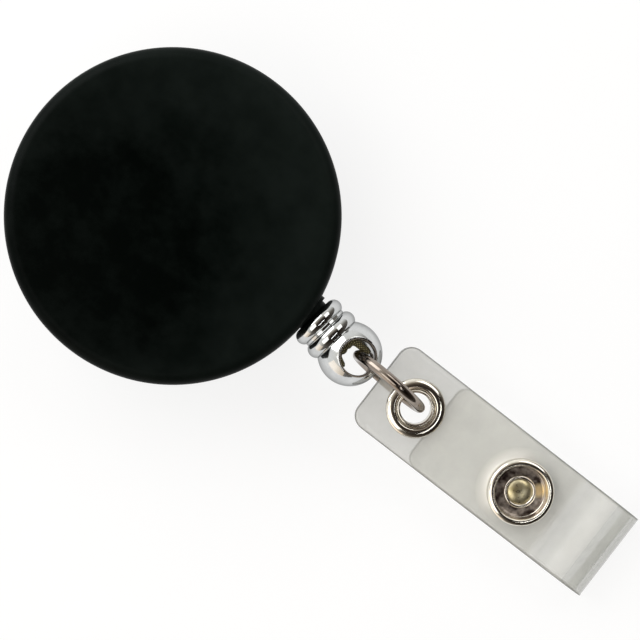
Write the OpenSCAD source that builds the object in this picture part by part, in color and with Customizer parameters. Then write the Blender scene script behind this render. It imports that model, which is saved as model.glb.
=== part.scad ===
// Retractable badge reel: round case with a belt clip, spring spool, beaded ball ferrule,
// wire ring and a clear snap strap.  Millimetres.  The reel lies on its belt clip:
// Z is up through the front face, X points along the pulled cord.

/* [Case] */
// Outside diameter of the round case
case_d = 38.1; // [37:0.1:40]
// Thickness of the case from back face to front face
case_t = 9.4; // [9:0.1:10]
// Wall and floor thickness of the case shells
case_wall = 1.2; // [1:0.1:1.3]
// Rounding of the front rim
front_round = 1.6; // [0.8:0.1:2]
// Rounding of the back rim
back_round = 0.9; // [0.5:0.1:1.2]
// Height of the back shell from its floor to the parting line
rear_h = 2.3; // [2:0.1:2.6]

/* [Belt clip] */
// Sheet thickness of the belt clip
clip_t = 0.8; // [0.7:0.05:0.9]
// Width of the belt clip
clip_w = 12; // [10:0.5:14]
// Height of the whole clip below the case back
clip_h = 4.3; // [4.2:0.1:4.6]
// Where the clip bends over, behind the case centre
clip_bend_x = 13; // [11:0.5:13]
// Where the lip of the clip ends, ahead of the case centre
clip_lip_x = 15; // [14.5:0.1:15.5]

/* [Spool] */
// Radius of the arbor post
arbor_r = 2.5; // [2.3:0.1:2.6]
// Radius of the spool flanges
flange_r = 15.2; // [14.8:0.1:15.5]
// Outside radius of the drum under the cord
drum_r = 11.4; // [11:0.1:11.6]
// Outside radius of the wound cord
pack_r = 13.1; // [12.6:0.1:13.2]
// Turns of the flat power spring
spring_turns = 8; // [6:1:9]

/* [Cord] */
// Diameter of the braided cord
cord_d = 0.9; // [0.8:0.05:1]
// Radius of the knot that stops in the ferrule
knot_r = 1.15; // [1:0.05:1.15]

/* [Ferrule] */
// Diameter of the hollow ball
ball_d = 7.5; // [7.3:0.1:7.7]
// Wall thickness of the ball
ball_wall = 0.85; // [0.7:0.05:1]
// Diameter of the hole through the ball
ball_hole_d = 4.0; // [3.9:0.05:4.2]
// Distance of the ball centre from the case centre
ball_x = 25.37; // [25.3:0.01:25.6]
// Sideways place of the ball centre
ball_y = 0.2; // [0:0.1:0.4]
// Angle by which the ferrule points to the side
ferrule_yaw = 7.4; // [6:0.1:8]
// Angle by which the hole of the ball leans
hole_roll = 8; // [6:0.5:9]

/* [Ring] */
// Diameter of the wire of the ring
ring_wire_d = 1.2; // [1.1:0.05:1.25]
// Diameter of the ring, wire centre to wire centre
ring_d = 9.3; // [9.2:0.05:9.5]
// Distance of the ring centre from the case centre
ring_x = 30.85; // [30.8:0.01:30.95]
// Sideways place of the ring centre
ring_y = 0.47; // [0.4:0.01:0.55]
// Angle by which the ring points to the side
ring_yaw = 2.3; // [1:0.1:4]
// Angle by which the ring leans
ring_roll = 4; // [3:0.5:6]

/* [Strap] */
// Width of the clear strap
strap_w = 11.3; // [11:0.1:12]
// Thickness of one layer of the strap
strap_t = 0.8; // [0.7:0.05:0.9]
// Length from the eyelet centre to the near end
eyelet_to_end = 5.33; // [5.1:0.01:5.4]
// Length from the eyelet centre to the snap centre
eyelet_to_snap = 15.6; // [15:0.1:16]
// Length from the eyelet centre to the outside of the fold
eyelet_to_fold = 29.7; // [29.5:0.1:31]
// Distance of the eyelet centre from the case centre
eyelet_x = 35.33; // [35.3:0.01:35.4]
// Height of the middle of the layer at the eyelet
eyelet_z = 6.6; // [6.5:0.05:6.7]
// Downward slope of the strap
strap_slope = 3.6; // [3.4:0.1:3.6]
// Spacing of the two layers, middle to middle
layer_gap = 2.2; // [2.2:0.1:2.3]
// Radius of the fold, to the middle of the sheet
fold_r = 1.9; // [1.8:0.05:1.9]
// Distance of the free end of the flap from the eyelet centre
flap_start = 3.2; // [2.8:0.1:3.4]

/* [Snap and eyelet] */
// Diameter of the eyelet flange
eyelet_d = 7.1; // [6.9:0.1:7.2]
// Diameter of the eyelet hole
eyelet_hole_d = 3.9; // [3.8:0.05:4]
// Diameter of the snap cap
snap_d = 7.9; // [7.6:0.1:8.2]
// Diameter of the flange behind the stud
stud_flange_d = 8.3; // [8:0.1:8.6]

/* [Hidden] */
$fn = 96;
case_r = case_d / 2;
case_z0 = clip_h;
case_z1 = case_z0 + case_t;
part_z = case_z0 + rear_h;
floor_z = case_z0 + case_wall;
roof_z = case_z1 - case_wall;
axis_z = case_z0 + case_t / 2;
cover_in_r = case_r - case_wall - 0.25;
lip_r = cover_in_r - 0.1;
lip_in_r = lip_r - case_wall;
lip_h = 1.4;
outlet_r = 2.3;
outlet_y = 1.2;
bush_r = outlet_r - 0.05;
bush_bore_r = 1.0;
bush_x0 = lip_in_r - 0.2;
bush_x1 = case_r + 0.1;
bush_flare_in = 0.6;
bush_flare_out = 0.35;

web_t = 0.8;
spool_z1 = roof_z - 0.5;
spool_z0 = floor_z + 0.6;
cup_wall = 0.8;
cup_r = drum_r - cup_wall;
hub_r = 3.3;
hub_h = 0.5;
hub_gap = 0.05;
spool_lid_t = 0.6;
keeper_t = 0.3;
keeper_gap = 0.1;
keeper_r = arbor_r + 1.3;
arbor_neck_r = 1.7;
slot_w = 0.6;
slot_lap = 0.1;
spring_t = 0.2;
spring_r0 = hub_r + 0.3;
spring_r1 = cup_r - spring_t;
spring_step = 15;
spring_steps = spring_turns * 360 / spring_step;
spring_z0 = spool_z0 + spool_lid_t + 0.2;
spring_z1 = spool_z1 - web_t - hub_h - 0.2;
rivet_r = 1.5;
rivet_head_r = 2.6;
rivet_head_h = 0.55;
rivet_washer_t = 0.3;
rivet_washer_r = rivet_head_r + 0.5;
rivet_bore_h = 2.2;
lip_len = 5;
plate_x1 = clip_lip_x - lip_len;
arm_x0 = 0.5 - clip_bend_x;
arm_grip = 0.35;
arm_rise = 30;
arm_bend_r = 1.6;

cord_r = cord_d / 2;
lead_tangent_r = pack_r + cord_r + 0.05;
bend_r = 1.2;
bend_x = 15.6;
bend_y = ball_y + (ball_x - bend_x) * tan(ferrule_yaw);
bend_reach = norm([bend_x, bend_y]);
lead_az = atan2(bend_y, bend_x) + acos(lead_tangent_r / bend_reach);
lead_start = [lead_tangent_r * cos(lead_az), lead_tangent_r * sin(lead_az)];
lead_dir = atan2(bend_y - lead_start[1], bend_x - lead_start[0]);
bend_angle = -ferrule_yaw - lead_dir;
bend_cut = bend_r * tan(bend_angle / 2);
lead_len = norm([bend_x - lead_start[0], bend_y - lead_start[1]]) - bend_cut;
bend_end = [bend_x + bend_cut * cos(ferrule_yaw), bend_y - bend_cut * sin(ferrule_yaw)];

ball_r = ball_d / 2;
ball_flat = -1.75;
cavity_flat = -1.0;
cavity_r = ball_r - ball_wall;
hole_shift = 0.85;
mouth_d = ball_hole_d + 3;
mouth_h = 2.5;
bead_root_r = 2.35;
bead1_r = 0.95;
bead2_r = 1.05;
bead1_x = -5.08;
bead2_x = bead1_x + bead1_r + bead2_r + 0.03;
neck_core_r = 2.8;
neck_x0 = bead1_x - bead1_r + 0.1;
collar_r = 3.05;
collar_seat_r = neck_core_r - 0.15;
collar_w = 0.2;
collar_x = ball_flat - 0.1 - collar_w;
bore_r = cord_r + 0.3;
knot_bore_r = knot_r + 0.3;
knot_x = -1.25;
knot_tail = 1.9;
knot_tail_yaw = 54;
knot_tail_rise = 10;
knot_fit = 0.02;
knot_bore_x = knot_x - knot_r - 0.4;
knot_back = bend_end[0] * cos(ferrule_yaw) - bend_end[1] * sin(ferrule_yaw);
ball_along = ball_x * cos(ferrule_yaw) - ball_y * sin(ferrule_yaw);
lead_tail = ball_along - knot_back + knot_x - 0.8 * knot_r;

strap_yaw = 0.6;
eyelet_y = -0.05;
snap_side = -0.25;
half_t = strap_t / 2;
crown_r = 20;
crown_a = 16;
fold_x = eyelet_to_fold - half_t - fold_r;
crown_x = fold_x + fold_r * sin(crown_a) - crown_r * sin(crown_a);
crown_dz = crown_r * (1 - cos(crown_a));
fold_z = -crown_dz - fold_r * cos(crown_a);
ramp_r = 4;
ramp_a = 19.3;
ramp_cut = ramp_r * tan(ramp_a / 2);
ramp_end = [fold_x - fold_r * sin(ramp_a), fold_z - fold_r * cos(ramp_a)];
ramp_len = (-layer_gap - ramp_end[1]) / sin(ramp_a);
ramp_knee_x = ramp_end[0] - ramp_len * cos(ramp_a);
seam = 0.05;
lap = 0.3;
end_round = 1.7;
flap_round = 1.4;

eyelet_r = eyelet_d / 2;
eyelet_hole_r = eyelet_hole_d / 2;
eyelet_roll_r = 0.3;
eyelet_rim_r = 0.45;
eyelet_wall = 0.3;
eyelet_fit_r = eyelet_hole_r + eyelet_wall;
eyelet_cup_h = 0.4;
eyelet_web_t = 0.2;
eyelet_washer_t = 0.3;
snap_r = snap_d / 2;
snap_rim_r = 0.45;
snap_floor_t = 0.25;
snap_rim_h = 1.0;
snap_ring_r = 1.65;
snap_ring_wire_r = 0.22;
dome_r = 1.6;
dome_edge_r = 1.4;
dome_h = 0.4;
post_r = 1.1;
socket_r = 3.1;
socket_h = 0.95;
socket_mouth_r = 1.85;
socket_round = 0.3;
socket_roof_t = 0.2;
spring_groove_z = 0.25;
spring_groove_h = 0.45;
spring_groove_r = socket_r - 0.4;
stud_r = 1.4;
stud_neck_r = 1.15;
stud_flange_r = stud_flange_d / 2;
stud_base_r = 3.1;
stud_base_t = 0.25;
stud_hollow_r = 0.6;
stud_hollow_h = 0.1;
stud_h = 0.95;
stud_head_h = 0.4;
stud_round = 0.15;
stud_flange_t = 0.3;
stud_flange_round = 0.4;
snap_wire_r = 0.15;
snap_wire_len = 4.4;

black = [0.08, 0.09, 0.09];
dark_grey = [0.25, 0.25, 0.26];
chrome = [0.82, 0.82, 0.84];
nickel = [0.72, 0.70, 0.66];
steel = [0.62, 0.63, 0.65];
blued = [0.28, 0.32, 0.40];
white_plastic = [0.86, 0.86, 0.84];
cord_colour = [0.34, 0.29, 0.13];
vinyl = [0.80, 0.82, 0.78, 0.6];

// ---------- helpers ----------

// straight strip of a side profile
module band(a, b, t) {
    translate(a)
        rotate(atan2(b[1] - a[1], b[0] - a[0]))
            translate([0, -t / 2])
                square([norm(b - a), t]);
}

// curved strip of a side profile, from angle a0 to angle a1
module arc_band(c, r, t, a0, a1) {
    reach = 2 * (r + t);
    translate(c)
        intersection() {
            difference() {
                circle(r + t / 2);
                circle(r - t / 2);
            }
            polygon(concat([[0, 0]],
                [for (i = [0:8]) let (a = a0 + (a1 - a0) * i / 8) reach * [cos(a), sin(a)]]));
        }
}

// stands a side profile up and gives it a width along Y
module across(w) {
    rotate([90, 0, 0])
        linear_extrude(height = w, center = true)
            children();
}

module tube(r_out, r_in, z0, z1) {
    translate([0, 0, z0])
        difference() {
            cylinder(r = r_out, h = z1 - z0);
            translate([0, 0, -1])
                cylinder(r = r_in, h = z1 - z0 + 2);
        }
}

// opening for the cord in the case wall
module outlet_cut() {
    translate([lip_in_r - 2, outlet_y, axis_z])
        rotate([0, 90, 0])
            cylinder(r = outlet_r, h = 6);
}

// frame of the ferrule, origin in the ball, X outward
module at_ferrule() {
    translate([ball_x, ball_y, axis_z])
        rotate([0, 0, -ferrule_yaw])
            children();
}

// turns a profile of radius and length about the ferrule axis
module turned() {
    rotate([0, 90, 0])
        rotate_extrude()
            children();
}

// frame of the strap, origin in the eyelet, X toward the fold
module at_strap() {
    translate([eyelet_x, eyelet_y, eyelet_z])
        rotate([0, 0, strap_yaw])
            rotate([0, strap_slope, 0])
                children();
}

module at_snap() {
    at_strap()
        translate([eyelet_to_snap, snap_side, 0])
            children();
}

// ---------- case ----------

module front_cover() {
    color(black)
        difference() {
            rotate_extrude()
                difference() {
                    union() {
                        translate([0, part_z])
                            square([case_r, case_z1 - front_round - part_z]);
                        translate([0, part_z])
                            square([case_r - front_round, case_z1 - part_z]);
                        translate([case_r - front_round, case_z1 - front_round])
                            circle(front_round);
                    }
                    translate([0, part_z - 1])
                        square([cover_in_r, roof_z - part_z + 1]);
                }
            outlet_cut();
        }
}

module rear_case() {
    color(black)
        difference() {
            rotate_extrude()
                difference() {
                    union() {
                        translate([0, case_z0 + back_round])
                            square([case_r, rear_h - back_round]);
                        translate([0, case_z0])
                            square([case_r - back_round, rear_h]);
                        translate([case_r - back_round, case_z0 + back_round])
                            circle(back_round);
                        translate([0, case_z0])
                            square([lip_r, rear_h + lip_h]);
                    }
                    translate([0, floor_z])
                        square([lip_in_r, rear_h + lip_h]);
                    translate([0, case_z0 - 1])
                        square([rivet_r, 3]);
                }
            outlet_cut();
        }
}

module outlet_bush() {
    color(black)
        translate([0, outlet_y, axis_z])
            rotate([0, 90, 0])
                rotate_extrude()
                    difference() {
                        translate([bush_bore_r, bush_x0])
                            square([bush_r - bush_bore_r, bush_x1 - bush_x0]);
                        translate([bush_bore_r, bush_x0])
                            circle(bush_flare_in);
                        translate([bush_bore_r, bush_x1])
                            circle(bush_flare_out);
                    }
}

module arbor_post() {
    color(dark_grey)
        difference() {
            union() {
                translate([0, 0, floor_z])
                    cylinder(r = arbor_r, h = spool_z1 + keeper_gap - floor_z);
                translate([0, 0, spool_z1])
                    cylinder(r = arbor_neck_r, h = keeper_gap + keeper_t);
            }
            translate([0, 0, floor_z - 1])
                cylinder(r = rivet_r, h = rivet_bore_h + 1);
            translate([arbor_neck_r, -slot_w / 2, spring_z0 - slot_lap])
                cube([arbor_r, slot_w, spring_z1 - spring_z0 + 2 * slot_lap]);
        }
}

module spool_keeper() {
    color(steel)
        tube(keeper_r, arbor_neck_r, spool_z1 + keeper_gap, spool_z1 + keeper_gap + keeper_t);
}

// ---------- belt clip ----------

module clip_base() {
    plate_z = clip_h - clip_t / 2;
    bend_c = [-clip_bend_x, clip_h / 2];
    color(steel)
        difference() {
            across(clip_w) {
                band([-clip_bend_x, plate_z], [plate_x1, plate_z], clip_t);
                arc_band(bend_c, (clip_h - clip_t) / 2, clip_t, 90, 270);
            }
            translate([0, 0, clip_h - 2 * clip_t])
                cylinder(r = rivet_r, h = 3 * clip_t);
        }
}

module clip_rivet() {
    head_z = clip_h - clip_t - rivet_washer_t;
    color(steel)
        rotate_extrude() {
            translate([0, head_z])
                square([rivet_r, floor_z + rivet_bore_h - head_z]);
            translate([0, head_z - rivet_head_h])
                square([rivet_head_r - rivet_head_h, rivet_head_h]);
            intersection() {
                translate([rivet_head_r - rivet_head_h, head_z])
                    circle(rivet_head_h);
                translate([0, head_z - rivet_head_h])
                    square([rivet_head_r, rivet_head_h]);
            }
        }
}

module rivet_washer() {
    color(steel)
        tube(rivet_washer_r, rivet_r, clip_h - clip_t - rivet_washer_t, clip_h - clip_t);
}

// points of a bend in a strip, each with its heading; turn is 1 to the left and -1 to the right
function bend_path(c, r, from, to, turn) =
    [for (i = [0:4])
        let (h = from + (to - from) * i / 4)
        [c[0] + turn * r * sin(h), c[1] - turn * r * cos(h), h]];

// outline of a strip of thickness t along a path of points with headings
function strip_outline(path, t) = concat(
    [for (p = path)
        [p[0] - t / 2 * sin(p[2]), p[1] + t / 2 * cos(p[2])]],
    [for (i = [len(path) - 1:-1:0])
        let (p = path[i])
        [p[0] + t / 2 * sin(p[2]), p[1] - t / 2 * cos(p[2])]]);

module clip_arm() {
    r = arm_bend_r;
    flat_z = clip_t / 2;
    crest_z = clip_h - clip_t - arm_grip - clip_t / 2;
    run = (crest_z - flat_z) / tan(arm_rise) + 2 * r * tan(arm_rise / 2);
    path = concat(
        [[arm_x0, flat_z, 0]],
        bend_path([plate_x1 - run, flat_z + r], r, 0, arm_rise, 1),
        bend_path([plate_x1, crest_z - r], r, arm_rise, -arm_rise, -1),
        bend_path([plate_x1 + run, flat_z + r], r, -arm_rise, 0, 1),
        [[clip_lip_x, flat_z, 0]]);
    color(steel)
        across(clip_w)
            polygon(strip_outline(path, clip_t));
}

// ---------- spool ----------

module spool() {
    color(white_plastic)
        rotate_extrude()
            union() {
                translate([arbor_r + hub_gap, spool_z1 - web_t])
                    square([flange_r - arbor_r - hub_gap, web_t]);
                translate([arbor_r + hub_gap, spool_z1 - web_t - hub_h])
                    square([hub_r - arbor_r - hub_gap, hub_h]);
                translate([cup_r, spool_z0])
                    square([cup_wall, spool_z1 - spool_z0]);
                translate([cup_r, spool_z0])
                    square([flange_r - cup_r, web_t]);
            }
}

module spool_lid() {
    color(white_plastic)
        tube(cup_r - 0.05, hub_r + 0.2, spool_z0, spool_z0 + spool_lid_t);
}

module cord_winding() {
    color(cord_colour)
        tube(pack_r, drum_r + 0.05, spool_z0 + web_t + 0.05, spool_z1 - web_t - 0.05);
}

function spring_at(i, side) =
    let (a = i * spring_step,
        r = spring_r0 + (spring_r1 - spring_r0) * i / spring_steps + side * spring_t / 2)
    [r * cos(a), r * sin(a)];

module power_spring() {
    color(blued)
        translate([0, 0, spring_z0])
            linear_extrude(height = spring_z1 - spring_z0) {
                polygon(concat(
                    [for (i = [0:spring_steps]) spring_at(i, 1)],
                    [for (i = [spring_steps:-1:0]) spring_at(i, -1)]));
                translate([arbor_neck_r + 0.2, -spring_t / 2])
                    square([spring_r0 - arbor_neck_r - 0.2, spring_t]);
            }
}

// ---------- cord ----------

module cord_lead() {
    bend_c = [bend_end[0] + bend_r * sin(ferrule_yaw), bend_end[1] + bend_r * cos(ferrule_yaw)];
    color(cord_colour) {
        translate([lead_start[0], lead_start[1], axis_z])
            rotate([0, 0, lead_dir])
                rotate([0, 90, 0])
                    cylinder(r = cord_r, h = lead_len);
        translate([bend_c[0], bend_c[1], axis_z])
            rotate([0, 0, 270 + lead_dir])
                rotate_extrude(angle = bend_angle)
                    translate([bend_r, 0])
                        circle(cord_r);
        translate([bend_end[0], bend_end[1], axis_z])
            rotate([0, 0, -ferrule_yaw])
                rotate([0, 90, 0])
                    cylinder(r = cord_r, h = lead_tail);
    }
}

module cord_knot() {
    color(cord_colour)
        at_ferrule()
            translate([knot_x, 0, 0])
                difference() {
                    union() {
                        sphere(knot_r);
                        rotate([0, -knot_tail_rise, knot_tail_yaw])
                            rotate([0, 90, 0])
                                cylinder(r = cord_r, h = knot_tail);
                    }
                    translate([-2 * knot_r, 0, 0])
                        rotate([0, 90, 0])
                            cylinder(r = cord_r + knot_fit, h = 1.3 * knot_r);
                }
}

// ---------- ferrule ----------

module ferrule_neck() {
    color(chrome)
        at_ferrule()
            turned()
                difference() {
                    union() {
                        translate([0, neck_x0])
                            square([neck_core_r, ball_flat - neck_x0]);
                        translate([bead_root_r, bead1_x])
                            circle(bead1_r);
                        translate([bead_root_r, bead2_x])
                            circle(bead2_r);
                    }
                    translate([-1, neck_x0 - 2])
                        square([1 + bore_r, 12]);
                    translate([-1, knot_bore_x])
                        square([1 + knot_bore_r, 8]);
                    translate([0, ball_flat])
                        square([8, 4]);
                    translate([collar_seat_r, collar_x])
                        square([2, collar_w]);
                }
}

module ferrule_collar() {
    color(chrome)
        at_ferrule()
            turned()
                translate([collar_seat_r, collar_x])
                    square([collar_r - collar_seat_r, collar_w]);
}

module ferrule_ball() {
    color(chrome)
        at_ferrule()
            difference() {
                sphere(ball_r);
                intersection() {
                    sphere(cavity_r);
                    translate([cavity_flat, -ball_r, -ball_r])
                        cube(2 * ball_r);
                }
                translate([-2 * ball_r + ball_flat, -ball_r, -ball_r])
                    cube(2 * ball_r);
                translate([ball_flat - 1, 0, 0])
                    rotate([0, 90, 0])
                        cylinder(r = knot_bore_r, h = 2);
                rotate([-hole_roll, 0, 0])
                    translate([hole_shift, 0, -ball_r - 1]) {
                        cylinder(r = ball_hole_d / 2, h = 2 * ball_r + 2);
                        for (side = [0, 1])
                            translate([0, 0, side * (2 * ball_r + 2)])
                                mirror([0, 0, side])
                                    cylinder(d1 = mouth_d, d2 = ball_hole_d, h = mouth_h);
                    }
            }
}

// ---------- ring ----------

module jump_ring() {
    color(nickel)
        translate([ring_x, ring_y, axis_z])
            rotate([0, 0, -ring_yaw])
                rotate([90 - ring_roll, 0, 0])
                    rotate_extrude()
                        translate([ring_d / 2, 0])
                            circle(ring_wire_d / 2);
}

// ---------- strap ----------

// tool that rounds the two corners of a strap end, the end at x = 0 facing -X
module end_corners(r) {
    for (side = [-1, 1])
        translate([0, side * strap_w / 2, 0])
            difference() {
                translate([-1, side > 0 ? -r : -1, -2])
                    cube([1 + r, 1 + r, 4]);
                translate([r, -side * r, -3])
                    cylinder(r = r, h = 6);
            }
}

module strap_upper() {
    crown_a0 = 90 - crown_a + seam * 180 / PI / crown_r;
    color(vinyl)
        at_strap()
            difference() {
                across(strap_w) {
                    band([-eyelet_to_end, 0], [crown_x, 0], strap_t);
                    arc_band([crown_x, -crown_r], crown_r, strap_t, crown_a0, 90);
                }
                translate([-eyelet_to_end, 0, 0])
                    end_corners(end_round);
                translate([0, 0, -2])
                    cylinder(r = eyelet_fit_r, h = 4);
                translate([eyelet_to_snap, snap_side, -2])
                    cylinder(r = post_r, h = 4);
            }
}

module strap_fold() {
    trim = seam * 180 / PI / fold_r;
    color(vinyl)
        at_strap()
            across(strap_w)
                arc_band([fold_x, fold_z], fold_r, strap_t, -90 - ramp_a + trim, 90 - crown_a - trim);
}

module strap_flap() {
    knee = [ramp_knee_x - ramp_cut, -layer_gap];
    color(vinyl)
        at_strap()
            difference() {
                across(strap_w) {
                    band([flap_start, -layer_gap], knee, strap_t);
                    arc_band([knee[0], knee[1] - ramp_r], ramp_r, strap_t,
                        90 - ramp_a - lap, 90 + lap);
                    band([ramp_knee_x + ramp_cut * cos(ramp_a), -layer_gap - ramp_cut * sin(ramp_a)],
                        ramp_end - seam * [cos(ramp_a), -sin(ramp_a)], strap_t);
                }
                translate([flap_start, 0, -layer_gap])
                    end_corners(flap_round);
                translate([eyelet_to_snap, snap_side, -layer_gap - 2])
                    cylinder(r = post_r, h = 4);
            }
}

module eyelet_barrel() {
    color(nickel)
        at_strap()
            rotate_extrude() {
                translate([eyelet_hole_r, -half_t - eyelet_cup_h])
                    square([eyelet_wall, strap_t + eyelet_cup_h]);
                difference() {
                    translate([eyelet_hole_r + eyelet_roll_r, half_t])
                        circle(eyelet_roll_r);
                    translate([0, half_t - 2])
                        square([8, 2]);
                }
                translate([eyelet_hole_r + eyelet_roll_r, half_t])
                    square([eyelet_r - eyelet_hole_r - eyelet_roll_r - eyelet_rim_r, eyelet_web_t]);
                difference() {
                    translate([eyelet_r - eyelet_rim_r, half_t])
                        circle(eyelet_rim_r);
                    translate([0, half_t - 2])
                        square([8, 2]);
                }
            }
}

module eyelet_washer() {
    color(nickel)
        at_strap()
            tube(eyelet_r - 0.3, eyelet_fit_r, -half_t - eyelet_washer_t, -half_t);
}

module snap_cap() {
    color(nickel)
        at_snap()
            rotate_extrude() {
                translate([0, half_t])
                    square([snap_r - snap_rim_r, snap_floor_t]);
                translate([snap_r - 2 * snap_rim_r, half_t])
                    square([2 * snap_rim_r, snap_rim_h]);
                translate([snap_r - snap_rim_r, half_t + snap_rim_h])
                    circle(snap_rim_r);
                translate([snap_ring_r, half_t + snap_floor_t])
                    circle(snap_ring_wire_r);
                intersection() {
                    translate([0, half_t + snap_floor_t + dome_h - dome_r])
                        circle(dome_r);
                    translate([0, half_t])
                        square([dome_edge_r, dome_r]);
                }
                translate([0, -half_t])
                    square([post_r, strap_t]);
            }
}

module snap_socket() {
    color(nickel)
        at_snap()
            translate([0, 0, -half_t - socket_h])
                rotate_extrude()
                    difference() {
                        union() {
                            square([socket_r - socket_round, socket_h]);
                            translate([0, socket_round])
                                square([socket_r, socket_h - socket_round]);
                            translate([socket_r - socket_round, socket_round])
                                circle(socket_round);
                        }
                        translate([0, -1])
                            square([socket_mouth_r, 1 + socket_h - socket_roof_t]);
                        translate([0, spring_groove_z])
                            square([spring_groove_r, spring_groove_h]);
                    }
}

module snap_spring() {
    wire_y = stud_neck_r + snap_wire_r + 0.05;
    wire_z = -half_t - socket_h + spring_groove_z + spring_groove_h / 2;
    color(steel)
        at_snap()
            for (side = [-1, 1])
                translate([-snap_wire_len / 2, side * wire_y, wire_z])
                    rotate([0, 90, 0])
                        cylinder(r = snap_wire_r, h = snap_wire_len);
}

module snap_stud() {
    color(nickel)
        at_snap()
            translate([0, 0, half_t - layer_gap])
                rotate_extrude() {
                    difference() {
                        square([stud_base_r, stud_base_t]);
                        translate([0, -1])
                            square([stud_hollow_r, 1 + stud_hollow_h]);
                    }
                    translate([0, stud_hollow_h])
                        square([stud_neck_r, stud_h - stud_head_h]);
                    translate([0, stud_h - stud_head_h])
                        square([stud_r - stud_round, stud_head_h - 0.1]);
                    translate([stud_r - stud_round, stud_h - stud_head_h + stud_round])
                        circle(stud_round);
                }
}

module stud_post() {
    color(nickel)
        at_snap()
            translate([0, 0, -layer_gap - half_t])
                rotate_extrude() {
                    square([post_r, strap_t]);
                    translate([0, -stud_flange_t])
                        square([stud_flange_r - stud_flange_round, stud_flange_t]);
                    difference() {
                        translate([stud_flange_r - stud_flange_round, 0])
                            circle(stud_flange_round);
                        square([stud_flange_r, 1]);
                    }
                }
}

// ---------- part ----------

front_cover();
rear_case();
outlet_bush();
arbor_post();
spool_keeper();
clip_base();
clip_rivet();
rivet_washer();
clip_arm();
spool();
spool_lid();
cord_winding();
power_spring();
cord_lead();
cord_knot();
ferrule_neck();
ferrule_collar();
ferrule_ball();
jump_ring();
strap_upper();
strap_fold();
eyelet_barrel();
eyelet_washer();
snap_cap();
snap_socket();
snap_spring();
strap_flap();
snap_stud();
stud_post();
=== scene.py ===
"""Retractable badge reel: case, belt clip, spool, cord, ball ferrule, ring and clear snap strap.

Sizes are millimetres until a mesh is made, which turns them into metres.  The frame is the CAD's:
Z up through the front face, X toward the strap, the table at Z = 0.
"""
import math

import bmesh
import bpy
from mathutils import Matrix, Vector


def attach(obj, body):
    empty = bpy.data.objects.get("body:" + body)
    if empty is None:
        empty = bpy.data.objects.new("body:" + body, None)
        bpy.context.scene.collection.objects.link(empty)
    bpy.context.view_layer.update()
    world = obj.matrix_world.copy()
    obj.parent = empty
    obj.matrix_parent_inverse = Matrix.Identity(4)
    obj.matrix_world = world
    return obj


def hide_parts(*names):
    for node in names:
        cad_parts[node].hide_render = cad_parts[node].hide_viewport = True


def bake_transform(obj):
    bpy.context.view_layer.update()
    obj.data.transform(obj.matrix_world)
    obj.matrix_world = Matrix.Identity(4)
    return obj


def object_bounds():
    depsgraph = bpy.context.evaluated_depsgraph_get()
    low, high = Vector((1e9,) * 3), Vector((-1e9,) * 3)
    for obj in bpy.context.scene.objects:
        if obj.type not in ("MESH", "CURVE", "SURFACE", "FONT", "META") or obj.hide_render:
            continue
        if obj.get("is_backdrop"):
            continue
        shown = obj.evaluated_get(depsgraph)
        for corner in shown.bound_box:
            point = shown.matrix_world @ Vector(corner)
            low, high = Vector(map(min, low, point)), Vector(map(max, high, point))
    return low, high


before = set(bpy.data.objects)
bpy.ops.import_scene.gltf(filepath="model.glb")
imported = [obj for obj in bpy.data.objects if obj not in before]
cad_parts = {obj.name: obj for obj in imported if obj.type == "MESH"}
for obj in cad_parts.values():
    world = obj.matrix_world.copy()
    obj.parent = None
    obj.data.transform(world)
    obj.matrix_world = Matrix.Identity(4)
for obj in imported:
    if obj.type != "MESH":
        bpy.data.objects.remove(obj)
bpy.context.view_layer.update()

MM = 0.001

# ---------------------------------------------------------------- sizes, as in the CAD source
CASE_R = 19.05
CASE_Z0, CASE_Z1 = 4.3, 13.7
PART_Z = 6.6
AXIS_Z = 9.0
COVER_IN_R, LIP_R, LIP_IN_R = 17.6, 17.5, 16.3
FLOOR_Z, ROOF_Z = 5.5, 12.5

CLIP_T, CLIP_W, CLIP_H = 0.8, 12.0, 4.3
CLIP_BEND_X, CLIP_LIP_X = 13.0, 15.0

DRUM_R, PACK_R = 11.4, 13.1
WIND_Z0, WIND_Z1 = 6.95, 11.15
CORD_D = 0.9

BALL = Vector((25.37, 0.2, AXIS_Z))
BALL_R, BALL_WALL = 3.75, 0.85
HOLE_R, HOLE_SHIFT = 2.0, 0.85
FERRULE_YAW, HOLE_ROLL = math.radians(7.4), math.radians(8)

RING = Vector((30.85, 0.47, AXIS_Z))
RING_R, WIRE_R = 4.65, 0.6
RING_YAW, RING_ROLL = math.radians(2.3), math.radians(4)

EYELET = Vector((35.33, -0.05, 6.6))
STRAP_YAW, STRAP_SLOPE = math.radians(0.6), math.radians(3.6)
STRAP_W, STRAP_T = 11.3, 0.8
EYELET_TO_END, EYELET_TO_SNAP, SNAP_SIDE = 5.33, 15.6, -0.25
LAYER_GAP, FOLD_R, CROWN_R, RAMP_R = 2.2, 1.9, 20.0, 4.0
CROWN_A, RAMP_A = math.radians(16), math.radians(19.3)
FOLD_X = 27.4
FOLD_Z = -CROWN_R * (1 - math.cos(CROWN_A)) - FOLD_R * math.cos(CROWN_A)
FLAP_START = 3.2
HALF_T = STRAP_T / 2

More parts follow.
